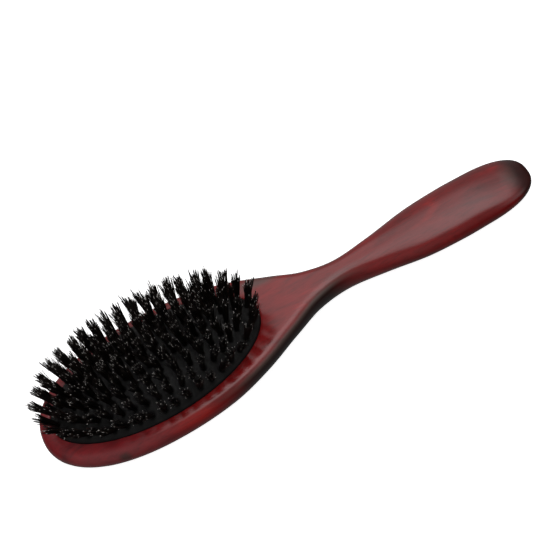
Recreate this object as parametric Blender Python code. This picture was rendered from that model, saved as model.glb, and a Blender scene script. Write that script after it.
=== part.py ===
"""Oval cushion hair brush: a wooden body, a domed rubber cushion and bristle tufts on draw wires.

Metres. The handle points to +X, the head to -X, and the bristles stand up along +Z. The brush lies
on its back on the plane Z = 0, and the plane Y = 0 divides it into two mirrored halves.
"""
import math

import bmesh
import bpy
import numpy as np
from mathutils import Vector

MM = 0.001

# Wooden body, seen from the bristle side
LENGTH = 225 * MM
HEAD_HALF_WIDTH = 32 * MM
HEAD_WIDEST_X = -59 * MM
HEAD_ROUNDNESS = 2.2
HANDLE_HALF_WIDTH = 13.8 * MM
HANDLE_END_X = 88 * MM
HANDLE_ROUNDNESS = 2.5
BOARD = 14 * MM

# Along the body: X, half width, front Z, back Z, and the Z of its widest line
BODY_STATIONS = [
    (-59, 32.0, 14.0, 0.0, 9.0),
    (-36, 29.9, 14.0, 0.0, 9.1),
    (-18, 24.3, 14.0, 0.4, 9.6),
    (0, 15.5, 13.9, 1.4, 9.3),
    (12, 9.4, 13.6, 1.5, 9.0),
    (26, 6.5, 13.4, 1.0, 8.6),
    (42, 8.8, 13.4, 0.3, 8.0),
    (60, 12.7, 13.7, 0.0, 7.6),
    (76, 13.9, 13.9, 0.0, 7.5),
    (88, 13.8, 13.7, 0.2, 7.5),
    (112.5, 13.8, 11.3, 2.4, 7.5),
]

# The ridge that the body's edge curves rise to
SPINE_START_X = -91 * MM
SPINE_END_X = 101 * MM

# How far in from the edge the front and the back of the head stay rounded
FRONT_EDGE = 4.6 * MM
BACK_EDGE = 17 * MM
FULL_ROUND_SHARE = 0.92
ROUNDING_STARTS_X = 14 * MM
ROUNDING_ENDS_X = 62 * MM

# Oval recess for the cushion, with an undercut groove round its wall
OVAL_X = -58.4 * MM
OVAL_HALF_LENGTH = 47.8 * MM
OVAL_HALF_WIDTH = 25.8 * MM
OVAL_SEGMENTS = 48
RECESS_FLOOR = 6.2 * MM
GROOVE_BOTTOM = 8.8 * MM
GROOVE_TOP = 12.1 * MM
GROOVE_DEPTH = 1.5 * MM

# Rubber cushion
FIT_GAP = 0.3 * MM
DOME_HEIGHT = 8 * MM
DOME_POWER = 2.6
MEMBRANE = 1.5 * MM
RUBBER_EDGE = 14.2 * MM
VENT_RADIUS = 0.9 * MM

# Rings of tufts: distance in from the edge of the oval, tufts in the ring, and how far past the
# handle side of the ring the first one stands, in tuft spacings
RINGS = [
    (3.0 * MM, 40, 0.5),
    (7.7 * MM, 36, 0.5),
    (12.3 * MM, 28, 0.5),
    (17.0 * MM, 24, 0.5),
    (21.6 * MM, 20, 0.0),
]
CENTRE_ROW_TUFTS = 7
CENTRE_ROW_SPACING = 5.2 * MM
TUFTS_PER_RUN = 4
TUFT_SIDES = 5
TUFT_ROOT_RADIUS = 1.05 * MM
TUFT_TIP_RADIUS = 1.7 * MM
TUFT_LENGTH = 12.6 * MM
TUFT_BEHIND = 2.6 * MM
SIDE_LEAN = math.radians(33)
END_LEAN = math.radians(28)
LEAN_POWER = 1.3
HOLE_RADIUS = 1.6 * MM
WIRE_RADIUS = 0.45 * MM
WIRE_SIDES = 4
WIRE_END = 0.9 * MM


def clear_scene():
    for item in list(bpy.data.objects):
        bpy.data.objects.remove(item, do_unlink=True)


def make_material(name, colour, roughness, coat=0.0):
    material = bpy.data.materials.new(name)
    material.use_nodes = True
    shader = material.node_tree.nodes["Principled BSDF"]
    shader.inputs["Base Color"].default_value = (*colour, 1.0)
    shader.inputs["Roughness"].default_value = roughness
    shader.inputs["Metallic"].default_value = 0.0
    shader.inputs["Coat Weight"].default_value = coat
    material.diffuse_color = (*colour, 1.0)
    return material


def lacquered_wood():
    return make_material("lacquered_wood", (0.13, 0.022, 0.020), 0.35, coat=1.0)


def black_rubber():
    return make_material("black_rubber", (0.012, 0.011, 0.010), 0.6)


def dark_bristle():
    return make_material("dark_bristle", (0.020, 0.014, 0.010), 0.5)


def add_object(name, mesh, material):
    mesh.materials.clear()
    mesh.materials.append(material)
    piece = bpy.data.objects.new(name, mesh)
    bpy.context.scene.collection.objects.link(piece)
    return piece


def shade_round(piece, degrees):
    piece.data.shade_smooth()
    piece.data.set_sharp_from_angle(angle=math.radians(degrees))


def mesh_of(name, points, faces, weld=False):
    """A closed mesh from points and faces, facing out, with coincident points joined if asked."""
    mesh = bpy.data.meshes.new(name)
    mesh.from_pydata([tuple(point) for point in points], [], faces)
    shape = bmesh.new()
    shape.from_mesh(mesh)
    if weld:
        bmesh.ops.remove_doubles(shape, verts=shape.verts, dist=0.00001)
    bmesh.ops.recalc_face_normals(shape, faces=shape.faces)
    shape.to_mesh(mesh)
    shape.free()
    return mesh


def boolean(mesh, cutter_mesh, operation):
    """The mesh after one exact Boolean with another mesh."""
    body = bpy.data.objects.new("body", mesh)
    cutter = bpy.data.objects.new("cutter", cutter_mesh)
    for item in (body, cutter):
        bpy.context.scene.collection.objects.link(item)
    change = body.modifiers.new("boolean", "BOOLEAN")
    change.operation = operation
    change.object = cutter
    graph = bpy.context.evaluated_depsgraph_get()
    result = bpy.data.meshes.new_from_object(body.evaluated_get(graph))
    for item in (body, cutter):
        bpy.data.objects.remove(item, do_unlink=True)
    return result


def smooth_step(value):
    share = min(1.0, max(0.0, value))
    return share * share * (3 - 2 * share)


def curve_through(position, stations, values):
    """Value at a position on a smooth curve through the stations (cubic, flat at both ends)."""
    slopes = [0.0]
    for before, after in zip(range(len(stations) - 2), range(2, len(stations))):
        slopes.append((values[after] - values[before]) / (stations[after] - stations[before]))
    slopes.append(0.0)
    if position <= stations[0]:
        return values[0]
    if position >= stations[-1]:
        return values[-1]
    index = max(k for k in range(len(stations) - 1) if stations[k] <= position)
    span = stations[index + 1] - stations[index]
    t = (position - stations[index]) / span
    return (
        (2 * t**3 - 3 * t**2 + 1) * values[index]
        + (t**3 - 2 * t**2 + t) * span * slopes[index]
        + (3 * t**2 - 2 * t**3) * values[index + 1]
        + (t**3 - t**2) * span * slopes[index + 1]
    )


def body_value(x, column):
    stations = [row[0] * MM for row in BODY_STATIONS]
    return curve_through(x, stations, [row[column] * MM for row in BODY_STATIONS])


def body_half_outline():
    """Points (x, half width) from the head's tip to the end of the handle."""
    points = []
    head_length = LENGTH / 2 + HEAD_WIDEST_X
    steps = 11
    for k in range(steps):
        turn = math.pi / 2 * k / steps
        x = HEAD_WIDEST_X - head_length * math.cos(turn) ** (2 / HEAD_ROUNDNESS)
        points.append((x, HEAD_HALF_WIDTH * math.sin(turn) ** (2 / HEAD_ROUNDNESS)))
    steps = 21
    for k in range(steps):
        x = HEAD_WIDEST_X + (HANDLE_END_X - HEAD_WIDEST_X) * k / steps
        points.append((x, body_value(x, 1)))
    end_length = LENGTH / 2 - HANDLE_END_X
    steps = 8
    for k in range(steps + 1):
        turn = math.pi / 2 * k / steps
        x = HANDLE_END_X + end_length * abs(math.sin(turn)) ** (2 / HANDLE_ROUNDNESS)
        half_width = HANDLE_HALF_WIDTH * abs(math.cos(turn)) ** (2 / HANDLE_ROUNDNESS)
        points.append((x, half_width if k < steps else 0.0))
    return points


def body_outline():
    """The whole closed outline, counter-clockwise seen from above."""
    upper = body_half_outline()
    lower = [(x, -y) for x, y in upper[1:-1]]
    return lower + upper[:0:-1] + [upper[0]]


def body_point(edge, side, share):
    """A point on the front (side 1) or back (side -1) of the body.

    The share runs from 0 on the outline, through 1 where the edge stops being rounded, to 2 on the
    ridge.
    """
    x, y = edge
    ridge_x = min(SPINE_END_X, max(SPINE_START_X, x))
    reach = math.hypot(x - ridge_x, y)
    edge_width = FRONT_EDGE if side > 0 else BACK_EDGE
    fullness = smooth_step((x - ROUNDING_STARTS_X) / (ROUNDING_ENDS_X - ROUNDING_STARTS_X))
    widest = FULL_ROUND_SHARE * reach
    rounded = min(widest, edge_width + fullness * max(0.0, widest - edge_width))
    if share <= 1:
        inward = rounded * (1 - math.cos(math.pi / 2 * share))
        rise = math.sin(math.pi / 2 * share)
    else:
        inward = rounded + (reach - rounded) * (share - 1)
        rise = 1.0
    toward = inward / reach
    face_x = x + (ridge_x - x) * toward
    middle = body_value(face_x, 4)
    face = body_value(face_x, 2 if side > 0 else 3)
    return (face_x, y * (1 - toward), middle + (face - middle) * rise)


def body_mesh():
    outline = body_outline()
    count = len(outline)
    rounding = [0.22, 0.42, 0.62, 0.81, 1.0]
    shares = [(-1, 2.0)]
    shares += [(-1, share) for share in reversed(rounding)]
    shares += [(1, 0.0)]
    shares += [(1, share) for share in rounding]
    shares += [(1, 2.0)]
    points = []
    for side, share in shares:
        points += [body_point(edge, side, share) for edge in outline]
    faces = []
    for ring in range(len(shares) - 1):
        for k in range(count):
            after = (k + 1) % count
            low = ring * count
            high = low + count
            faces.append((low + k, low + after, high + after, high + k))
    return mesh_of("wooden_body", points, faces, weld=True)


def oval_ring(outward, height):
    """Points round the recess's oval, moved outward, at one height."""
    ring = []
    for k in range(OVAL_SEGMENTS):
        turn = 2 * math.pi * (k + 0.5) / OVAL_SEGMENTS
        x = OVAL_X + (OVAL_HALF_LENGTH + outward) * math.cos(turn)
        ring.append((x, (OVAL_HALF_WIDTH + outward) * math.sin(turn), height))
    return ring


def stack_of_rings(name, rings):
    """A closed solid from oval rings, with a flat face on the first and the last."""
    count = OVAL_SEGMENTS
    points = [point for ring in rings for point in ring]
    faces = [tuple(range(count)), tuple(range((len(rings) - 1) * count, len(rings) * count))]
    for ring in range(len(rings) - 1):
        for k in range(count):
            after = (k + 1) % count
            low = ring * count
            high = low + count
            faces.append((low + k, low + after, high + after, high + k))
    return mesh_of(name, points, faces)


def recess_cutter():
    slope = 0.5 * MM
    return stack_of_rings("recess", [
        oval_ring(-0.8 * MM, RECESS_FLOOR),
        oval_ring(0.0, RECESS_FLOOR + 0.8 * MM),
        oval_ring(0.0, GROOVE_BOTTOM - slope),
        oval_ring(GROOVE_DEPTH, GROOVE_BOTTOM),
        oval_ring(GROOVE_DEPTH, GROOVE_TOP),
        oval_ring(0.0, GROOVE_TOP + slope),
        oval_ring(0.0, BOARD + 2 * MM),
    ])


def make_wooden_body(material):
    mesh = boolean(body_mesh(), recess_cutter(), "DIFFERENCE")
    piece = add_object("wooden_body", mesh, material)
    shade_round(piece, 38)


def dome_rise(inset):
    """Height of the dome above its edge, at a distance in from the oval."""
    share = 1 - min(1.0, max(0.0, inset / OVAL_HALF_WIDTH))
    return DOME_HEIGHT * (1 - share**DOME_POWER)


def cushion_mesh():
    """The closed cushion: a bead in the groove, the dome outside it and the hollow inside it.

    The dome's own rings lie between the rings of tufts, so that no tuft's hole crosses one.
    """
    slope = 0.5 * MM
    wall = 1.6 * MM
    ring_insets = [inset for inset, _, _ in RINGS]
    dome_insets = [1.1 * MM]
    dome_insets += [(near + far) / 2 for near, far in zip(ring_insets, ring_insets[1:])]
    dome_insets += [OVAL_HALF_WIDTH - 1.9 * MM]
    outer = [
        oval_ring(-FIT_GAP - wall, GROOVE_BOTTOM + FIT_GAP),
        oval_ring(GROOVE_DEPTH - FIT_GAP, GROOVE_BOTTOM + FIT_GAP),
        oval_ring(GROOVE_DEPTH - FIT_GAP, GROOVE_TOP - FIT_GAP),
        oval_ring(-FIT_GAP, GROOVE_TOP + slope - FIT_GAP),
        oval_ring(-FIT_GAP, RUBBER_EDGE),
    ]
    for inset in dome_insets:
        outer.append(oval_ring(-inset, RUBBER_EDGE + dome_rise(inset)))
    inner = [oval_ring(-FIT_GAP - wall, RUBBER_EDGE - MEMBRANE)]
    for inset in dome_insets[1:]:
        inner.append(oval_ring(-inset, RUBBER_EDGE + dome_rise(inset - 0.8 * MM) - MEMBRANE))
    rings = list(reversed(inner)) + outer
    return stack_of_rings("rubber_cushion", rings)


def ring_sites(inset, count, start):
    """The tufts of one ring, evenly spaced round it: each a point on the dome and a direction."""
    half_length = OVAL_HALF_LENGTH - inset
    half_width = OVAL_HALF_WIDTH - inset
    turns = np.linspace(0, 2 * math.pi, 2001)
    path = np.stack([half_length * np.cos(turns), half_width * np.sin(turns)])
    steps = np.hypot(*np.diff(path, axis=1))
    travelled = np.concatenate([[0.0], np.cumsum(steps)])
    height = RUBBER_EDGE + dome_rise(inset)
    inner_share = (half_width / (OVAL_HALF_WIDTH - RINGS[0][0])) ** LEAN_POWER
    sites = []
    for k in range(count):
        turn = float(np.interp(travelled[-1] * (k + start) / count, travelled, turns))
        point = Vector((OVAL_X + half_length * math.cos(turn), half_width * math.sin(turn), height))
        outward = Vector((half_width * math.cos(turn), half_length * math.sin(turn), 0)).normalized()
        lean = inner_share * (END_LEAN + (SIDE_LEAN - END_LEAN) * math.sin(turn) ** 2)
        sites.append((point, outward * math.sin(lean) + Vector((0, 0, math.cos(lean)))))
    return sites


def centre_row_sites():
    """The upright tufts along the middle of the dome."""
    sites = []
    for k in range(CENTRE_ROW_TUFTS):
        x = OVAL_X + CENTRE_ROW_SPACING * (k - (CENTRE_ROW_TUFTS - 1) / 2)
        sites.append((Vector((x, 0, RUBBER_EDGE + DOME_HEIGHT)), Vector((0, 0, 1))))
    return sites


def tuft_groups():
    """Every ring of tufts from the outermost in, then the row along the middle."""
    return [ring_sites(*ring) for ring in RINGS] + [centre_row_sites()]


def prism(start, end, start_radius, end_radius, sides):
    """Points and faces of a straight, closed, many-sided bar that may widen along its length."""
    along = (end - start).normalized()
    across = along.cross(Vector((0, 0, 1)))
    if across.length < 0.001:
        across = Vector((0, 1, 0))
    across.normalize()
    other = along.cross(across)
    points = []
    for centre, radius in ((start, start_radius), (end, end_radius)):
        for k in range(sides):
            turn = 2 * math.pi * (k + 0.5) / sides
            points.append(centre + across * (radius * math.cos(turn)) + other * (radius * math.sin(turn)))
    faces = [tuple(range(sides)), tuple(range(sides, 2 * sides))]
    for k in range(sides):
        after = (k + 1) % sides
        faces.append((k, after, sides + after, sides + k))
    return points, faces


def gathered(name, solids):
    """One mesh that holds several separate closed solids."""
    points = []
    faces = []
    for solid_points, solid_faces in solids:
        first = len(points)
        points += solid_points
        faces += [tuple(first + index for index in face) for face in solid_faces]
    return mesh_of(name, points, faces)


def make_cushion(material):
    holes = []
    for sites in tuft_groups():
        for point, direction in sites:
            reach = direction * (3.4 * MM)
            holes.append(prism(point - reach, point + reach, HOLE_RADIUS, HOLE_RADIUS, TUFT_SIDES))
    top = Vector((OVAL_X + CENTRE_ROW_SPACING / 2, 0, RUBBER_EDGE + DOME_HEIGHT))
    reach = Vector((0, 0, 4 * MM))
    holes.append(prism(top - reach, top + reach, VENT_RADIUS, VENT_RADIUS, 8))
    mesh = boolean(cushion_mesh(), gathered("holes", holes), "DIFFERENCE")
    piece = add_object("rubber_cushion", mesh, material)
    shade_round(piece, 35)


def wire_mesh(roots):
    """The draw wire behind one run of tufts, from just before the first to just after the last."""
    first = roots[0] + (roots[0] - roots[1]).normalized() * (TUFT_ROOT_RADIUS + WIRE_END)
    last = roots[-1] + (roots[-1] - roots[-2]).normalized() * (TUFT_ROOT_RADIUS + WIRE_END)
    path = [first, *roots, last]
    points = []
    for k, centre in enumerate(path):
        before = path[max(0, k - 1)]
        after = path[min(len(path) - 1, k + 1)]
        sideways = (after - before).cross(Vector((0, 0, 1))).normalized()
        for side in range(WIRE_SIDES):
            turn = 2 * math.pi * side / WIRE_SIDES
            offset = sideways * math.cos(turn) + Vector((0, 0, math.sin(turn)))
            points.append(centre + offset * WIRE_RADIUS)
    last_ring = (len(path) - 1) * WIRE_SIDES
    faces = [tuple(range(WIRE_SIDES)), tuple(range(last_ring, last_ring + WIRE_SIDES))]
    for k in range(len(path) - 1):
        for side in range(WIRE_SIDES):
            after = (side + 1) % WIRE_SIDES
            low = k * WIRE_SIDES
            high = low + WIRE_SIDES
            faces.append((low + side, low + after, high + after, high + side))
    return mesh_of("wire", points, faces)


def make_tuft_run(name, sites, material):
    """A run of tufts, each doubled over the same length of draw wire."""
    tufts = []
    for point, direction in sites:
        root = point - direction * (MEMBRANE + TUFT_BEHIND)
        tip = point + direction * TUFT_LENGTH
        tufts.append(prism(root, tip, TUFT_ROOT_RADIUS, TUFT_TIP_RADIUS, TUFT_SIDES))
    wire_at = MEMBRANE + TUFT_BEHIND - WIRE_RADIUS - 0.5 * MM
    wire = wire_mesh([point - direction * wire_at for point, direction in sites])
    mesh = boolean(gathered("tufts", tufts), wire, "UNION")
    piece = add_object(name, mesh, material)
    shade_round(piece, 65)


def make_tuft_runs(material):
    for group, sites in enumerate(tuft_groups()):
        starts = range(0, len(sites), TUFTS_PER_RUN)
        for run, start in enumerate(starts):
            name = f"tuft_run_{group + 1}_{run + 1:02d}"
            make_tuft_run(name, sites[start:start + TUFTS_PER_RUN], material)


def build():
    clear_scene()
    make_wooden_body(lacquered_wood())
    make_cushion(black_rubber())
    make_tuft_runs(dark_bristle())


build()
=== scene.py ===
"""Looks for the oval cushion hair brush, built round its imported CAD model.

Metres. The handle points to +X, the head to -X, and the bristles stand up along +Z.
"""

import math

import bmesh
import bpy
import numpy as np
from mathutils import Euler, Matrix, Vector


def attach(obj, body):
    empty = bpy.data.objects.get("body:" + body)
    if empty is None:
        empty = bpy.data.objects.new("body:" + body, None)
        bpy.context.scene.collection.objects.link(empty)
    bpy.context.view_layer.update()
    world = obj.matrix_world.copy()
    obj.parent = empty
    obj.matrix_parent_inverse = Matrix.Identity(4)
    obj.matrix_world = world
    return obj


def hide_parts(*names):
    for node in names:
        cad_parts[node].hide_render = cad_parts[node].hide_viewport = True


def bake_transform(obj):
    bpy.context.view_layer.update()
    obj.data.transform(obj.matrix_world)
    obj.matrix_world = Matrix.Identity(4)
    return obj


MM = 0.001
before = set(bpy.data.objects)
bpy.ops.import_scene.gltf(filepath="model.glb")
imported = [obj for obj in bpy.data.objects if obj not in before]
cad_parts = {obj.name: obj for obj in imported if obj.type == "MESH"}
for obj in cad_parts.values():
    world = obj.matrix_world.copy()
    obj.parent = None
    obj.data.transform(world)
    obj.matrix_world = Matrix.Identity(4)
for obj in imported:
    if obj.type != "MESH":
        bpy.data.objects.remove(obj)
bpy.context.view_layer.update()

# The same driving sizes as the CAD part, because the visual pieces stand exactly where its solids are
LENGTH = 225 * MM
HEAD_HALF_WIDTH = 32 * MM
HEAD_WIDEST_X = -59 * MM
HEAD_ROUNDNESS = 2.2
HANDLE_HALF_WIDTH = 13.8 * MM
HANDLE_END_X = 88 * MM
HANDLE_ROUNDNESS = 2.5
BOARD = 14 * MM

# Along the body: X, half width, front Z, back Z, and the Z of its widest line
BODY_STATIONS = [
    (-59, 32.0, 14.0, 0.0, 9.0),
    (-36, 29.9, 14.0, 0.0, 9.1),
    (-18, 24.3, 14.0, 0.4, 9.6),
    (0, 15.5, 13.9, 1.4, 9.3),
    (12, 9.4, 13.6, 1.5, 9.0),
    (26, 6.5, 13.4, 1.0, 8.6),
    (42, 8.8, 13.4, 0.3, 8.0),
    (60, 12.7, 13.7, 0.0, 7.6),
    (76, 13.9, 13.9, 0.0, 7.5),
    (88, 13.8, 13.7, 0.2, 7.5),
    (112.5, 13.8, 11.3, 2.4, 7.5),
]
SPINE_START_X = -91 * MM
SPINE_END_X = 101 * MM
FRONT_EDGE = 4.6 * MM
BACK_EDGE = 17 * MM
FULL_ROUND_SHARE = 0.92
ROUNDING_STARTS_X = 14 * MM
ROUNDING_ENDS_X = 62 * MM

OVAL_X = -58.4 * MM
OVAL_HALF_LENGTH = 47.8 * MM
OVAL_HALF_WIDTH = 25.8 * MM
RECESS_FLOOR = 6.2 * MM
GROOVE_BOTTOM = 8.8 * MM
GROOVE_TOP = 12.1 * MM
GROOVE_DEPTH = 1.5 * MM

FIT_GAP = 0.3 * MM
DOME_HEIGHT = 8 * MM
DOME_POWER = 2.6
MEMBRANE = 1.5 * MM
RUBBER_EDGE = 14.2 * MM
COLLAR_HEIGHT = 0.28 * MM
COLLAR_RADIUS = 1.75 * MM
COLLAR_WIDTH = 0.55 * MM
DIMPLE_DEPTH = 0.5 * MM
DIMPLE_RADIUS = 1.15 * MM

RINGS = [
    (3.0 * MM, 40, 0.5),
    (7.7 * MM, 36, 0.5),
    (12.3 * MM, 28, 0.5),
    (17.0 * MM, 24, 0.5),
    (21.6 * MM, 20, 0.0),
]
CENTRE_ROW_TUFTS = 7
CENTRE_ROW_SPACING = 5.2 * MM
TUFTS_PER_RUN = 4
TUFT_LENGTH = 12.6 * MM
TUFT_BEHIND = 2.6 * MM
SIDE_LEAN = math.radians(33)
END_LEAN = math.radians(28)
LEAN_POWER = 1.3

# Bristles: a tuft is a number of strands, and each strand a number of bristles stuck together
STRANDS_PER_TUFT = 16
BRISTLES_PER_STRAND = 7
BUNDLE_RADIUS = 1.05 * MM
SPLAY_RADIUS = 2.1 * MM
FAN_POWER = 1.6
TUFT_TILT = 0.055
STRAND_LENGTH_SHIFT = -0.25 * MM
STRAND_LENGTH_SPREAD = 0.95 * MM
BRISTLE_LENGTH_SPREAD = 0.5 * MM
STRAY_SHARE = 0.12
STRAY_REACH = 1.5 * MM
BEND = 0.16 * MM

# One bristle: its radius and, from its doubled root behind the rubber to its tip, the shares of its
# free length at which it has a ring of points
BRISTLE_SIDES = 3
BRISTLE_RADIUS = 0.12 * MM
TIP_RADIUS = 0.07 * MM
# Bristles with a near-white end, partly a pale tip and partly a painted glint, drawn thicker so they show
PALE_TIPS_SHARE = 0.11
PALE_THICKNESS = 1.4
ROOT_DEPTHS = (-MEMBRANE - TUFT_BEHIND, -MEMBRANE, 0.0)
BRISTLE_STEPS = (0.0, 0.0, 0.0, 0.3, 0.6, 0.85, 0.95, 1.0)

# Draw wire behind the rubber
WIRE_RADIUS = 0.3 * MM
WIRE_SIDES = 8
WIRE_END = 1.8 * MM

random = np.random.default_rng(7)


# ---------------------------------------------------------------- shapes

def smooth_step(value):
    share = np.clip(value, 0.0, 1.0)
    return share * share * (3 - 2 * share)


def curve_through(position, stations, values):
    """Values at positions on a smooth curve through the stations (cubic, flat at both ends)."""
    stations = np.asarray(stations, float)
    values = np.asarray(values, float)
    slopes = np.zeros(len(stations))
    slopes[1:-1] = (values[2:] - values[:-2]) / (stations[2:] - stations[:-2])
    position = np.clip(position, stations[0], stations[-1])
    index = np.clip(np.searchsorted(stations, position, side="right") - 1, 0, len(stations) - 2)
    span = stations[index + 1] - stations[index]
    t = (position - stations[index]) / span
    return (
        (2 * t**3 - 3 * t**2 + 1) * values[index]
        + (t**3 - 2 * t**2 + t) * span * slopes[index]
        + (3 * t**2 - 2 * t**3) * values[index + 1]
        + (t**3 - t**2) * span * slopes[index + 1]
    )


def body_value(x, column):
    stations = [row[0] * MM for row in BODY_STATIONS]
    return curve_through(x, stations, [row[column] * MM for row in BODY_STATIONS])


def body_outline():
    """The closed outline seen from above, as an array of (x, y)."""
    head_length = LENGTH / 2 + HEAD_WIDEST_X
    turn = np.linspace(0, math.pi / 2, 60, endpoint=False)
    head_x = HEAD_WIDEST_X - head_length * np.cos(turn) ** (2 / HEAD_ROUNDNESS)
    head_y = HEAD_HALF_WIDTH * np.sin(turn) ** (2 / HEAD_ROUNDNESS)
    side_x = np.linspace(HEAD_WIDEST_X, HANDLE_END_X, 130, endpoint=False)
    side_y = body_value(side_x, 1)
    end_length = LENGTH / 2 - HANDLE_END_X
    turn = np.linspace(0, math.pi / 2, 40)
    end_x = HANDLE_END_X + end_length * np.sin(turn) ** (2 / HANDLE_ROUNDNESS)
    end_y = HANDLE_HALF_WIDTH * np.abs(np.cos(turn)) ** (2 / HANDLE_ROUNDNESS)
    end_y[-1] = 0.0
    x = np.concatenate([head_x, side_x, end_x])
    y = np.concatenate([head_y, side_y, end_y])
    return np.concatenate([
        np.stack([x[1:-1], -y[1:-1]], 1),
        np.stack([x[:0:-1], y[:0:-1]], 1),
        np.array([[x[0], y[0]]]),
    ])


def body_ring(outline, side, share):
    """Points on the front (side 1) or back (side -1): share 0 on the outline, 1 where the edge stops
    being rounded, 2 on the ridge."""
    x, y = outline[:, 0], outline[:, 1]
    ridge_x = np.clip(x, SPINE_START_X, SPINE_END_X)
    reach = np.hypot(x - ridge_x, y)
    edge_width = FRONT_EDGE if side > 0 else BACK_EDGE
    fullness = smooth_step((x - ROUNDING_STARTS_X) / (ROUNDING_ENDS_X - ROUNDING_STARTS_X))
    widest = FULL_ROUND_SHARE * reach
    rounded = np.minimum(widest, edge_width + fullness * np.maximum(0.0, widest - edge_width))
    if share <= 1:
        inward = rounded * (1 - math.cos(math.pi / 2 * share))
        rise = math.sin(math.pi / 2 * share)
    else:
        inward = rounded + (reach - rounded) * (share - 1)
        rise = 1.0
    toward = inward / reach
    face_x = x + (ridge_x - x) * toward
    middle = body_value(face_x, 4)
    face = body_value(face_x, 2 if side > 0 else 3)
    return np.stack([face_x, y * (1 - toward), middle + (face - middle) * rise], 1)


def mesh_of(name, points, faces, weld=False):
    mesh = bpy.data.meshes.new(name)
    mesh.from_pydata(np.asarray(points).tolist(), [], faces)
    shape = bmesh.new()
    shape.from_mesh(mesh)
    if weld:
        bmesh.ops.remove_doubles(shape, verts=shape.verts, dist=0.000003)
    bmesh.ops.recalc_face_normals(shape, faces=shape.faces)
    shape.to_mesh(mesh)
    shape.free()
    return mesh


def ring_faces(rings, count):
    """Quads between neighbouring rings of points, each ring closed on itself."""
    faces = []
    for ring in range(rings - 1):
        low = ring * count
        high = low + count
        for k in range(count):
            after = (k + 1) % count
            faces.append((low + k, low + after, high + after, high + k))
    return faces


def body_mesh():
    outline = body_outline()
    rounding = np.linspace(0, 1, 13)[1:]
    flat = [1.12, 1.3, 1.6, 2.0]
    rings = [body_ring(outline, -1, share) for share in reversed([*rounding, *flat])]
    rings.append(body_ring(outline, 1, 0.0))
    rings += [body_ring(outline, 1, share) for share in [*rounding, *flat]]
    return mesh_of("wood", np.concatenate(rings), ring_faces(len(rings), len(outline)), weld=True)


def oval_ring(outward, height, count):
    turn = 2 * math.pi * (np.arange(count) + 0.5) / count
    x = OVAL_X + (OVAL_HALF_LENGTH + outward) * np.cos(turn)
    y = (OVAL_HALF_WIDTH + outward) * np.sin(turn)
    return np.stack([x, y, np.full(count, height)], 1)


def stack_of_rings(name, rings):
    count = len(rings[0])
    last = (len(rings) - 1) * count
    faces = ring_faces(len(rings), count)
    faces += [tuple(range(count)), tuple(range(last, last + count))]
    return mesh_of(name, np.concatenate(rings), faces)


def recess_cutter():
    count = 200
    slope = 0.5 * MM
    rim = 0.45 * MM
    rings = [
        oval_ring(-0.8 * MM, RECESS_FLOOR, count),
        oval_ring(0.0, RECESS_FLOOR + 0.8 * MM, count),
        oval_ring(0.0, GROOVE_BOTTOM - slope, count),
        oval_ring(GROOVE_DEPTH, GROOVE_BOTTOM, count),
        oval_ring(GROOVE_DEPTH, GROOVE_TOP, count),
        oval_ring(0.0, GROOVE_TOP + slope, count),
    ]
    for share in (0.0, 0.35, 0.7, 1.0):
        turn = math.pi / 2 * share
        rings.append(oval_ring(rim * (1 - math.cos(turn)), BOARD - rim * (1 - math.sin(turn)), count))
    rings.append(oval_ring(rim, BOARD + 2 * MM, count))
    return stack_of_rings("recess", rings)


def boolean(mesh, cutter_mesh, operation):
    body = bpy.data.objects.new("body", mesh)
    cutter = bpy.data.objects.new("cutter", cutter_mesh)
    for item in (body, cutter):
        bpy.context.scene.collection.objects.link(item)
    change = body.modifiers.new("boolean", "BOOLEAN")
    change.operation = operation
    change.object = cutter
    graph = bpy.context.evaluated_depsgraph_get()
    result = bpy.data.meshes.new_from_object(body.evaluated_get(graph))
    for item in (body, cutter):
        bpy.data.objects.remove(item, do_unlink=True)
    return result


def add_piece(name, mesh, material, sharp_degrees):
    mesh.materials.clear()
    mesh.materials.append(material)
    mesh.shade_smooth()
    mesh.set_sharp_from_angle(angle=math.radians(sharp_degrees))
    piece = bpy.data.objects.new(name, mesh)
    bpy.context.scene.collection.objects.link(piece)
    return piece


def make_wood(material):
    mesh = boolean(body_mesh(), recess_cutter(), "DIFFERENCE")
    piece = add_piece("wood_body", mesh, material, 40)
    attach(piece, "body")
    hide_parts("wooden_body")


# ---------------------------------------------------------------- tufts

def dome_rise(inset):
    share = 1 - np.clip(inset / OVAL_HALF_WIDTH, 0.0, 1.0)
    return DOME_HEIGHT * (1 - share**DOME_POWER)


def ring_sites(inset, count, start):
    """The tufts of one ring, evenly spaced round it: each a point on the dome and a direction."""
    half_length = OVAL_HALF_LENGTH - inset
    half_width = OVAL_HALF_WIDTH - inset
    turns = np.linspace(0, 2 * math.pi, 2001)
    path = np.stack([half_length * np.cos(turns), half_width * np.sin(turns)])
    steps = np.hypot(*np.diff(path, axis=1))
    travelled = np.concatenate([[0.0], np.cumsum(steps)])
    height = RUBBER_EDGE + dome_rise(inset)
    inner_share = (half_width / (OVAL_HALF_WIDTH - RINGS[0][0])) ** LEAN_POWER
    sites = []
    for k in range(count):
        turn = float(np.interp(travelled[-1] * (k + start) / count, travelled, turns))
        point = Vector((OVAL_X + half_length * math.cos(turn), half_width * math.sin(turn), height))
        outward = Vector((half_width * math.cos(turn), half_length * math.sin(turn), 0)).normalized()
        lean = inner_share * (END_LEAN + (SIDE_LEAN - END_LEAN) * math.sin(turn) ** 2)
        sites.append((point, outward * math.sin(lean) + Vector((0, 0, math.cos(lean)))))
    return sites


def centre_row_sites():
    sites = []
    for k in range(CENTRE_ROW_TUFTS):
        x = OVAL_X + CENTRE_ROW_SPACING * (k - (CENTRE_ROW_TUFTS - 1) / 2)
        sites.append((Vector((x, 0, RUBBER_EDGE + DOME_HEIGHT)), Vector((0, 0, 1))))
    return sites


def tuft_groups():
    return [ring_sites(*ring) for ring in RINGS] + [centre_row_sites()]


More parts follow.
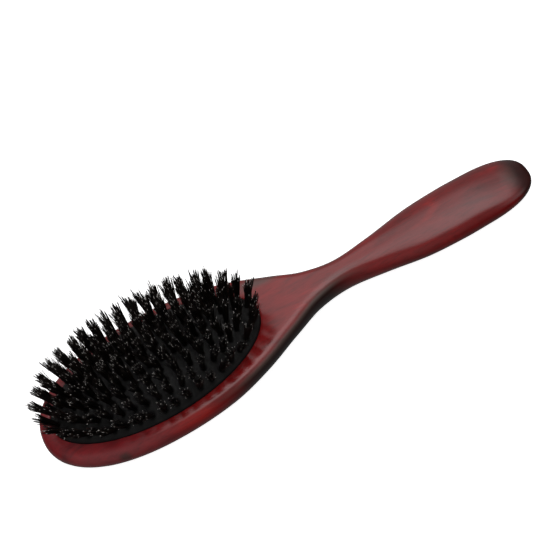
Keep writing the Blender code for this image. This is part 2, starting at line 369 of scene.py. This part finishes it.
def disc(count, radius):
    """Random points, evenly spread over a disc."""
    turn = random.uniform(0, 2 * math.pi, count)
    reach = radius * np.sqrt(random.uniform(0, 1, count))
    return np.stack([reach * np.cos(turn), reach * np.sin(turn)], 1)


def axes_of(direction):
    """Two directions across a tuft, and the direction along it, as rows."""
    along = np.array(direction)
    across = np.cross(along, (0.0, 1.0, 0.0))
    across /= np.linalg.norm(across)
    return np.stack([across, np.cross(along, across), along])


def sunflower(count):
    """Points spread evenly over a disc of radius 1, turned by a random angle."""
    k = np.arange(count)
    turn = k * math.pi * (3 - math.sqrt(5)) + random.uniform(0, 2 * math.pi)
    reach = np.sqrt((k + 0.5) / count)
    return np.stack([reach * np.cos(turn), reach * np.sin(turn)], 1)


def tuft_bristles(point, direction):
    """The centre lines of a tuft's bristles: an array of bristle, step and (x, y, z).

    The bristles stick together in strands that fan apart towards the tips.
    """
    count = STRANDS_PER_TUFT * BRISTLES_PER_STRAND
    tilt = random.normal(0, TUFT_TILT, 2)
    strand_place = sunflower(STRANDS_PER_TUFT) + disc(STRANDS_PER_TUFT, 0.16)
    strand_length = random.normal(STRAND_LENGTH_SHIFT, STRAND_LENGTH_SPREAD, STRANDS_PER_TUFT)
    strand = np.repeat(np.arange(STRANDS_PER_TUFT), BRISTLES_PER_STRAND)
    foot = 0.8 * BUNDLE_RADIUS * strand_place[strand] + disc(count, 0.25 * MM)
    tip = SPLAY_RADIUS * strand_place[strand] + disc(count, 0.26 * MM)
    stray = random.uniform(0, 1, count) < STRAY_SHARE
    tip[stray] += disc(int(stray.sum()), STRAY_REACH)
    own_length = TUFT_LENGTH + strand_length[strand]
    own_length += random.normal(0, BRISTLE_LENGTH_SPREAD, count)
    bend = random.normal(0, BEND, (count, 2))
    lines = np.zeros((count, len(BRISTLE_STEPS), 3))
    for step, share in enumerate(BRISTLE_STEPS):
        if step < len(ROOT_DEPTHS):
            lines[:, step, :2] = foot * (0.75 if step == 0 else 0.9)
            lines[:, step, 2] = ROOT_DEPTHS[step]
        else:
            fanned = share**FAN_POWER
            sideways = foot * (1 - fanned) + tip * fanned + bend * math.sin(math.pi * share)
            lines[:, step, :2] = sideways + tilt * share * own_length[:, None]
            lines[:, step, 2] = share * own_length
    return lines @ axes_of(direction) + np.array(point)


def bristle_mesh(name, lines):
    """Tapered tubes along the centre lines.

    Two attributes go with them for the material: how far along its bristle a point is, and a tone
    for the whole bristle, which is 1 for those with a pale trimmed end, partly a painted glint.
    """
    count, steps, _ = lines.shape
    sides = BRISTLE_SIDES
    along = np.gradient(lines, axis=1)
    along /= np.linalg.norm(along, axis=2, keepdims=True)
    across = np.cross(along, np.array([0.0, 1.0, 0.0]))
    across /= np.linalg.norm(across, axis=2, keepdims=True)
    other = np.cross(along, across)
    share = np.array(BRISTLE_STEPS)
    # The bristles with a near-white end: partly a pale tip, partly a painted glint
    pale = random.uniform(0, 1, count) < PALE_TIPS_SHARE
    tones = np.where(pale, 1.0, random.uniform(0, 0.9, count))
    taper = np.interp(share**1.5, [0, 1], [BRISTLE_RADIUS, TIP_RADIUS])
    thick = random.uniform(0.8, 1.2, (count, 1)) * taper
    thick[pale] *= PALE_THICKNESS
    turn = 2 * math.pi * np.arange(sides) / sides
    ring = across[:, :, None] * np.cos(turn)[:, None] + other[:, :, None] * np.sin(turn)[:, None]
    points = lines[:, :, None] + ring * thick[:, :, None, None]
    points = points.reshape(-1, 3)
    faces = []
    for bristle in range(count):
        first = bristle * steps * sides
        for step in range(steps - 1):
            low = first + step * sides
            high = low + sides
            for k in range(sides):
                after = (k + 1) % sides
                faces.append((low + k, low + after, high + after, high + k))
        top = first + (steps - 1) * sides
        faces.append(tuple(range(top, top + sides)))
        faces.append(tuple(reversed(range(first, first + sides))))
    mesh = bpy.data.meshes.new(name)
    mesh.from_pydata(points.tolist(), [], faces)
    tip = mesh.attributes.new("tip_share", "FLOAT", "POINT")
    tip.data.foreach_set("value", np.tile(np.repeat(share, sides), count).astype(np.float32))
    tone = mesh.attributes.new("bristle_tone", "FLOAT", "POINT")
    tone.data.foreach_set("value", np.repeat(tones, steps * sides).astype(np.float32))
    return mesh


def wire_mesh(name, path):
    """A thin steel wire through the doubled roots of one run of tufts."""
    path = np.array([list(point) for point in path])
    before = path[0] - path[1]
    after = path[-1] - path[-2]
    start = path[0] + before / np.linalg.norm(before) * WIRE_END
    end = path[-1] + after / np.linalg.norm(after) * WIRE_END
    path = np.concatenate([[start], path, [end]])
    along = np.gradient(path, axis=0)
    across = np.cross(along, (0.0, 0.0, 1.0))
    across /= np.linalg.norm(across, axis=1, keepdims=True)
    sides = WIRE_SIDES
    turn = 2 * math.pi * np.arange(sides) / sides
    up = np.array([0.0, 0.0, 1.0])
    ring = across[:, None] * np.cos(turn)[:, None] + up * np.sin(turn)[:, None]
    points = (path[:, None] + ring * WIRE_RADIUS).reshape(-1, 3)
    last = (len(path) - 1) * sides
    faces = ring_faces(len(path), sides) + [tuple(range(sides)), tuple(range(last, last + sides))]
    return mesh_of(name, points, faces)


def make_tufts(bristle, wire):
    bodies = [f"tuft_ring_{ring + 1}" for ring in range(len(RINGS))] + ["centre_row"]
    for group, sites in enumerate(tuft_groups()):
        for run, start in enumerate(range(0, len(sites), TUFTS_PER_RUN)):
            code = f"{group + 1}_{run + 1:02d}"
            members = sites[start:start + TUFTS_PER_RUN]
            lines = np.concatenate([tuft_bristles(*site) for site in members])
            tufts = add_piece(f"bristles_{code}", bristle_mesh(f"bristles_{code}", lines), bristle, 75)
            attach(tufts, bodies[group])
            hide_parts(f"tuft_run_{code}")
            behind = MEMBRANE + TUFT_BEHIND - 0.9 * MM
            path = [point - direction * behind for point, direction in members]
            thread = add_piece(f"draw_wire_{code}", wire_mesh(f"draw_wire_{code}", path), wire, 40)
            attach(thread, bodies[group])


# ---------------------------------------------------------------- cushion

def cushion_mesh():
    """The domed rubber: a bead in the groove and a membrane that puckers round every tuft."""
    count = 440
    slope = 0.5 * MM
    wall = 1.6 * MM
    outer = [
        oval_ring(-FIT_GAP - wall, GROOVE_BOTTOM + FIT_GAP, count),
        oval_ring(GROOVE_DEPTH - FIT_GAP, GROOVE_BOTTOM + FIT_GAP, count),
        oval_ring(GROOVE_DEPTH - FIT_GAP, GROOVE_TOP - FIT_GAP, count),
        oval_ring(-FIT_GAP, GROOVE_TOP + slope - FIT_GAP, count),
    ]
    for share in np.linspace(0, 1, 6):
        turn = math.pi / 2 * share
        outward = -0.05 * MM - 0.75 * MM * (1 - math.cos(turn))
        outer.append(oval_ring(outward, BOARD - 0.5 * MM + 1.25 * MM * math.sin(turn), count))
    insets = np.concatenate([np.arange(1.2, 24.5, 0.45), [25.0, 25.6, 26.0]]) * MM
    for inset in insets:
        outer.append(oval_ring(-inset, RUBBER_EDGE + dome_rise(inset), count))
    inner = []
    for inset in (1.9 * MM, 4 * MM, 8 * MM, 13 * MM, 18 * MM, 23 * MM, 25.8 * MM):
        inner.append(oval_ring(-inset, RUBBER_EDGE - MEMBRANE + dome_rise(inset - 0.8 * MM), count))
    rings = list(reversed(inner)) + outer
    points = np.concatenate(rings)
    first_dome = (len(inner) + 4) * count
    dome = points[first_dome:]
    for sites in tuft_groups():
        for point, direction in sites:
            away = np.hypot(dome[:, 0] - point.x, dome[:, 1] - point.y)
            collar = COLLAR_HEIGHT * np.exp(-((away - COLLAR_RADIUS) / COLLAR_WIDTH) ** 2)
            dimple = DIMPLE_DEPTH * np.exp(-(away / DIMPLE_RADIUS) ** 4)
            dome[:, 2] += collar - dimple
    last = (len(rings) - 1) * count
    faces = ring_faces(len(rings), count) + [tuple(range(count))]
    # The innermost ring is closed by quads that run straight across it
    for k in range(count // 2 - 1):
        far = last + count - 1 - k
        faces.append((last + k, last + k + 1, far - 1, far))
    return mesh_of("cushion", points, faces)


def make_cushion(material):
    piece = add_piece("rubber_pad", cushion_mesh(), material, 50)
    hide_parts("rubber_cushion")
    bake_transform(piece)


# ---------------------------------------------------------------- materials

def new_material(name):
    material = bpy.data.materials.new(name)
    material.use_nodes = True
    tree = material.node_tree
    return material, tree, tree.nodes["Principled BSDF"]


def node(tree, kind, settings=(), **inputs):
    made = tree.nodes.new(kind)
    for key, value in dict(settings).items():
        setattr(made, key, value)
    for key, value in inputs.items():
        made.inputs[key.replace("_", " ")].default_value = value
    return made


def ramp(tree, source, stops):
    made = tree.nodes.new("ShaderNodeValToRGB")
    elements = made.color_ramp.elements
    while len(elements) < len(stops):
        elements.new(0.5)
    for element, (position, colour) in zip(elements, stops):
        element.position = position
        element.color = (*colour, 1.0)
    tree.links.new(source, made.inputs["Fac"])
    return made.outputs["Color"]


def stretched_noise(tree, scale, detail, distortion=0.0, roughness=0.6):
    """Noise over the object's own coordinates, with its own scale along X, Y and Z."""
    place = node(tree, "ShaderNodeTexCoord").outputs["Object"]
    spread = node(tree, "ShaderNodeMapping")
    spread.inputs["Scale"].default_value = scale
    tree.links.new(place, spread.inputs["Vector"])
    noise = node(tree, "ShaderNodeTexNoise", Scale=1.0, Detail=detail, Distortion=distortion)
    noise.inputs["Roughness"].default_value = roughness
    tree.links.new(spread.outputs["Vector"], noise.inputs["Vector"])
    return noise.outputs["Fac"]


def blend_colours(tree, kind, amount, first, second):
    mixed = node(tree, "ShaderNodeMix", {"data_type": "RGBA", "blend_type": kind})
    if isinstance(amount, float):
        mixed.inputs[0].default_value = amount
    else:
        tree.links.new(amount, mixed.inputs[0])
    for source, socket in ((first, mixed.inputs[6]), (second, mixed.inputs[7])):
        if isinstance(source, tuple):
            socket.default_value = (*source, 1.0)
        else:
            tree.links.new(source, socket)
    return mixed.outputs[2]


def fade(tree, source, start, end):
    """A smooth fade from 0 at the start value to 1 at the end value."""
    made = node(tree, "ShaderNodeMapRange", {"interpolation_type": "SMOOTHSTEP"})
    tree.links.new(source, made.inputs["Value"])
    made.inputs["From Min"].default_value = start
    made.inputs["From Max"].default_value = end
    return made.outputs["Result"]


def arithmetic(tree, operation, first, second):
    made = node(tree, "ShaderNodeMath", {"operation": operation})
    for source, socket in ((first, made.inputs[0]), (second, made.inputs[1])):
        if isinstance(source, float):
            socket.default_value = source
        else:
            tree.links.new(source, socket)
    return made.outputs["Value"]


def coordinates(tree):
    """The object's own X, Y and Z at the shaded point."""
    place = node(tree, "ShaderNodeTexCoord").outputs["Object"]
    parts = node(tree, "ShaderNodeSeparateXYZ")
    tree.links.new(place, parts.inputs["Vector"])
    return parts.outputs["X"], parts.outputs["Y"], parts.outputs["Z"]


def product(tree, *factors):
    """All the factors multiplied together. A factor is a socket or a number."""
    total = factors[0]
    for factor in factors[1:]:
        total = arithmetic(tree, "MULTIPLY", total, factor)
    return total


def spot(tree, centre, half_size):
    """A soft round spot in the wood: 1 at its centre (in mm), 0 from its half size (in mm) outwards."""
    place = node(tree, "ShaderNodeTexCoord").outputs["Object"]
    away = node(tree, "ShaderNodeVectorMath", {"operation": "SUBTRACT"})
    tree.links.new(place, away.inputs[0])
    away.inputs[1].default_value = Vector(centre) * MM
    share = node(tree, "ShaderNodeVectorMath", {"operation": "DIVIDE"})
    tree.links.new(away.outputs["Vector"], share.inputs[0])
    share.inputs[1].default_value = Vector(half_size) * MM
    reach = node(tree, "ShaderNodeVectorMath", {"operation": "LENGTH"})
    tree.links.new(share.outputs["Vector"], reach.inputs[0])
    return fade(tree, reach.outputs["Value"], 1.0, 0.4)


def edge_stain_and_shade(tree):
    """Where the wood is darkest: the handle's end, and the flanks and the far edge of the neck.

    A dark burst stain, and in part painted shade where these faces turn away from the light.
    """
    x, y, z = coordinates(tree)
    uneven = arithmetic(tree, "MULTIPLY", stretched_noise(tree, (60, 60, 60), 3.0), 9 * MM)
    x = arithmetic(tree, "ADD", x, uneven)
    end = product(tree, fade(tree, x, 103 * MM, 112 * MM), 0.9)
    flank = product(
        tree,
        fade(tree, x, -45 * MM, -14 * MM),
        fade(tree, x, 44 * MM, 20 * MM),
        fade(tree, z, 13.8 * MM, 11.8 * MM),
    )
    far_edge = product(tree, spot(tree, (-1, 15, 14), (17, 6, 6)), 0.75)
    return arithmetic(tree, "MAXIMUM", end, arithmetic(tree, "MAXIMUM", flank, far_edge))


def lacquered_wood():
    material, tree, shader = new_material("lacquered_wood")
    link = tree.links.new
    stain = ramp(tree, stretched_noise(tree, (22, 80, 60), 5.0, 1.8), [
        (0.30, (0.170, 0.0075, 0.0075)),
        (0.46, (0.290, 0.0095, 0.0100)),
        (0.60, (0.340, 0.0105, 0.0115)),
        (0.74, (0.500, 0.0120, 0.0105)),
    ])
    cloud = ramp(tree, stretched_noise(tree, (30, 60, 60), 3.0, 0.5), [
        (0.35, (0.70, 0.67, 0.67)),
        (0.62, (1.0, 1.0, 1.0)),
    ])
    colour = blend_colours(tree, "MULTIPLY", 0.8, stain, cloud)
    pores = stretched_noise(tree, (170, 1300, 1100), 3.0)
    pore_tone = ramp(tree, pores, [(0.30, (0.58, 0.56, 0.56)), (0.52, (1.0, 1.0, 1.0))])
    colour = blend_colours(tree, "MULTIPLY", 0.6, colour, pore_tone)
    x, _, z = coordinates(tree)
    sheen_towards_tip = fade(tree, x, -50 * MM, -88 * MM)
    on_handle = fade(tree, x, 22 * MM, 58 * MM)
    # Paler and greyer towards the tip of the head: a painted sheen, standing in for the lacquer's soft
    # reflection
    colour = blend_colours(tree, "ADD", sheen_towards_tip, colour, (0.040, 0.015, 0.020))
    colour = blend_colours(tree, "MULTIPLY", on_handle, colour, (0.69, 0.60, 0.60))
    # Darker lower down the flanks: painted shade where they face downwards, over the dark burst stain
    low = fade(tree, z, 12.2 * MM, 10.6 * MM)
    edge_stain_and_shade_colour = blend_colours(tree, "MIX", low, (0.092, 0.061, 0.052), (0.024, 0.0090, 0.0080))
    # The dark burst stain at the edges, partly painted shade
    colour = blend_colours(tree, "MIX", edge_stain_and_shade(tree), colour, edge_stain_and_shade_colour)

    # One brighter patch and one small knot in the rim of the head
    bright_patch = spot(tree, (-52, -30, 12), (13, 4, 4))
    colour = blend_colours(tree, "ADD", bright_patch, colour, (0.07, 0.003, 0.0))
    knot = product(tree, spot(tree, (-83.2, -28, 10), (4.2, 2.8, 3)), 0.7)
    colour = blend_colours(tree, "MIX", knot, colour, (0.030, 0.020, 0.014))
    link(colour, shader.inputs["Base Color"])
    bump = node(tree, "ShaderNodeBump", Strength=0.12, Distance=0.0001)
    link(pores, bump.inputs["Height"])
    link(bump.outputs["Normal"], shader.inputs["Normal"])
    shader.inputs["Roughness"].default_value = 0.45
    shader.inputs["Specular IOR Level"].default_value = 0.02
    shader.inputs["Coat Weight"].default_value = 1.0
    shader.inputs["Coat Roughness"].default_value = 0.25
    shader.inputs["Coat IOR"].default_value = 1.5
    return material


def black_rubber():
    material, tree, shader = new_material("black_rubber")
    link = tree.links.new
    skin = stretched_noise(tree, (900, 900, 900), 4.0)
    cloud = stretched_noise(tree, (60, 60, 60), 3.0, roughness=0.5)
    tone = ramp(tree, cloud, [
        (0.35, (0.0060, 0.0056, 0.0056)),
        (0.65, (0.0100, 0.0094, 0.0092)),
    ])
    link(tone, shader.inputs["Base Color"])
    rough = ramp(tree, skin, [(0.3, (0.50, 0.50, 0.50)), (0.7, (0.66, 0.66, 0.66))])
    link(rough, shader.inputs["Roughness"])
    shader.inputs["Specular IOR Level"].default_value = 0.22
    bump = node(tree, "ShaderNodeBump", Strength=0.25, Distance=0.0001)
    link(skin, bump.inputs["Height"])
    link(bump.outputs["Normal"], shader.inputs["Normal"])
    return material


def dark_bristle():
    material, tree, shader = new_material("dark_bristle")
    tone = node(tree, "ShaderNodeAttribute", {"attribute_name": "bristle_tone"}).outputs["Fac"]
    tip = node(tree, "ShaderNodeAttribute", {"attribute_name": "tip_share"}).outputs["Fac"]
    shaft = ramp(tree, tone, [
        (0.0, (0.0028, 0.0022, 0.0022)),
        (0.70, (0.0060, 0.0044, 0.0042)),
        (0.84, (0.0220, 0.0100, 0.0060)),
        (0.90, (0.0380, 0.0170, 0.0090)),
        (1.0, (0.0200, 0.0120, 0.0080)),
    ])
    # Near-white ends: partly the bristle's own pale tip, partly a painted glint
    end_and_glint = ramp(tree, tone, [
        (0.0, (0.004, 0.003, 0.003)),
        (0.92, (0.04, 0.03, 0.025)),
        (1.0, (0.90, 0.86, 0.82)),
    ])
    colour = blend_colours(tree, "MIX", fade(tree, tip, 0.93, 0.97), shaft, end_and_glint)
    tree.links.new(colour, shader.inputs["Base Color"])
    shader.inputs["Roughness"].default_value = 0.45
    shader.inputs["Specular IOR Level"].default_value = 0.35
    return material


def steel_wire():
    material, tree, shader = new_material("steel_wire")
    scratch = stretched_noise(tree, (2500, 2500, 2500), 3.0, roughness=0.5)
    tone = ramp(tree, scratch, [(0.3, (0.42, 0.41, 0.39)), (0.7, (0.62, 0.61, 0.59))])
    tree.links.new(tone, shader.inputs["Base Color"])
    shader.inputs["Metallic"].default_value = 1.0
    shader.inputs["Roughness"].default_value = 0.35
    return material


# ---------------------------------------------------------------- stage

VIEW_HEIGHT = math.radians(48.9)
VIEW_ROLL = math.radians(29.6)
VIEW_DISTANCE = 0.619
VIEW_CENTRE = Vector((3.1, 7.9, 14.4)) * MM
LENS = 98
FLOOR_REACH = 3.0
FLOOR_GAP = 0.3 * MM


def make_camera():
    data = bpy.data.cameras.new("camera")
    data.lens = LENS
    data.sensor_width = 36
    data.clip_start = 0.01
    camera = bpy.data.objects.new("camera", data)
    bpy.context.scene.collection.objects.link(camera)
    back = Vector((0, -math.cos(VIEW_HEIGHT), math.sin(VIEW_HEIGHT)))
    level = (-back).to_track_quat("-Z", "Y")
    roll = Euler((0, 0, -VIEW_ROLL)).to_quaternion()
    place = Matrix.Translation(VIEW_CENTRE + back * VIEW_DISTANCE)
    camera.matrix_world = place @ (level @ roll).to_matrix().to_4x4()
    bpy.context.scene.camera = camera


def make_floor():
    corners = [(-1, -1), (1, -1), (1, 1), (-1, 1)]
    mesh = bpy.data.meshes.new("floor")
    mesh.from_pydata([(x * FLOOR_REACH, y * FLOOR_REACH, 0) for x, y in corners], [], [(0, 1, 2, 3)])
    floor = bpy.data.objects.new("floor", mesh)
    bpy.context.scene.collection.objects.link(floor)
    floor.location.z = -FLOOR_GAP
    material, tree, shader = new_material("pale_floor")
    shader.inputs["Base Color"].default_value = (0.90, 0.90, 0.90, 1)
    shader.inputs["Roughness"].default_value = 0.9
    shader.inputs["Specular IOR Level"].default_value = 0.0
    shader.inputs["Emission Color"].default_value = (1, 1, 1, 1)
    shader.inputs["Emission Strength"].default_value = 0.9
    material.cycles.emission_sampling = "NONE"
    mesh.materials.append(material)
    floor.visible_glossy = False
    floor.visible_diffuse = False


def soft_patch(tree, direction, inner, outer, strength):
    """Brightness of a soft round patch of sky: full inside the inner angle, gone past the outer one."""
    look = node(tree, "ShaderNodeTexCoord").outputs["Generated"]
    facing = node(tree, "ShaderNodeVectorMath", {"operation": "DOT_PRODUCT"})
    tree.links.new(look, facing.inputs[0])
    facing.inputs[1].default_value = Vector(direction).normalized()
    dark = math.cos(math.radians(outer))
    bright = math.cos(math.radians(inner))
    return arithmetic(tree, "MULTIPLY", fade(tree, facing.outputs["Value"], dark, bright), float(strength))


def soft_ceiling(tree, along_x, along_y, strength):
    """Brightness of a softbox overhead, level, whose edges fade out.

    Each pair of fades is given in distances from overhead, as a share of the softbox's height:
    where the near edge starts and ends, and where the far edge starts and ends.
    """
    look = node(tree, "ShaderNodeTexCoord").outputs["Generated"]
    parts = node(tree, "ShaderNodeSeparateXYZ")
    tree.links.new(look, parts.inputs["Vector"])
    height = arithmetic(tree, "MAXIMUM", parts.outputs["Z"], 0.001)
    light = fade(tree, parts.outputs["Z"], 0.0, 0.1)
    for name, (dark, bright, still_bright, dark_again) in (("X", along_x), ("Y", along_y)):
        place = arithmetic(tree, "DIVIDE", parts.outputs[name], height)
        light = arithmetic(tree, "MULTIPLY", light, fade(tree, place, dark, bright))
        light = arithmetic(tree, "MULTIPLY", light, fade(tree, place, dark_again, still_bright))
    return arithmetic(tree, "MULTIPLY", light, float(strength))


def make_world():
    world = bpy.data.worlds.new("studio")
    world.use_nodes = True
    bpy.context.scene.world = world
    tree = world.node_tree
    background = tree.nodes["Background"]
    overhead = soft_ceiling(tree, (-0.22, 0.04, 0.28, 0.82), (-0.52, -0.28, 0.1, 1.7), 2.6)
    lights = [
        overhead,
        soft_patch(tree, (-0.60, -0.70, 0.35), 10, 60, 0.36),  # front left
        soft_patch(tree, (0.60, -0.55, 0.58), 8, 22, 0.8),  # front right
        soft_patch(tree, (0, 1, 0.25), 10, 50, 0.3),  # behind
        soft_patch(tree, (0, 0, 1), 40, 95, 0.14),  # the whole sky
        soft_patch(tree, (0, 0, -1), 60, 92, 0.15),  # light thrown back by the floor
    ]
    total = lights[0]
    for light in lights[1:]:
        total = arithmetic(tree, "ADD", total, light)

    # The studio wall beyond the floor looks as pale as the floor, and lights nothing
    wall = node(tree, "ShaderNodeLightPath").outputs["Is Camera Ray"]
    total = arithmetic(tree, "MAXIMUM", total, wall)
    background.inputs["Color"].default_value = (1, 1, 1, 1)
    tree.links.new(total, background.inputs["Strength"])


def build():
    make_wood(lacquered_wood())
    make_cushion(black_rubber())
    make_tufts(dark_bristle(), steel_wire())
    make_floor()
    make_world()
    make_camera()
    bpy.context.scene.view_settings.view_transform = "Standard"


build()
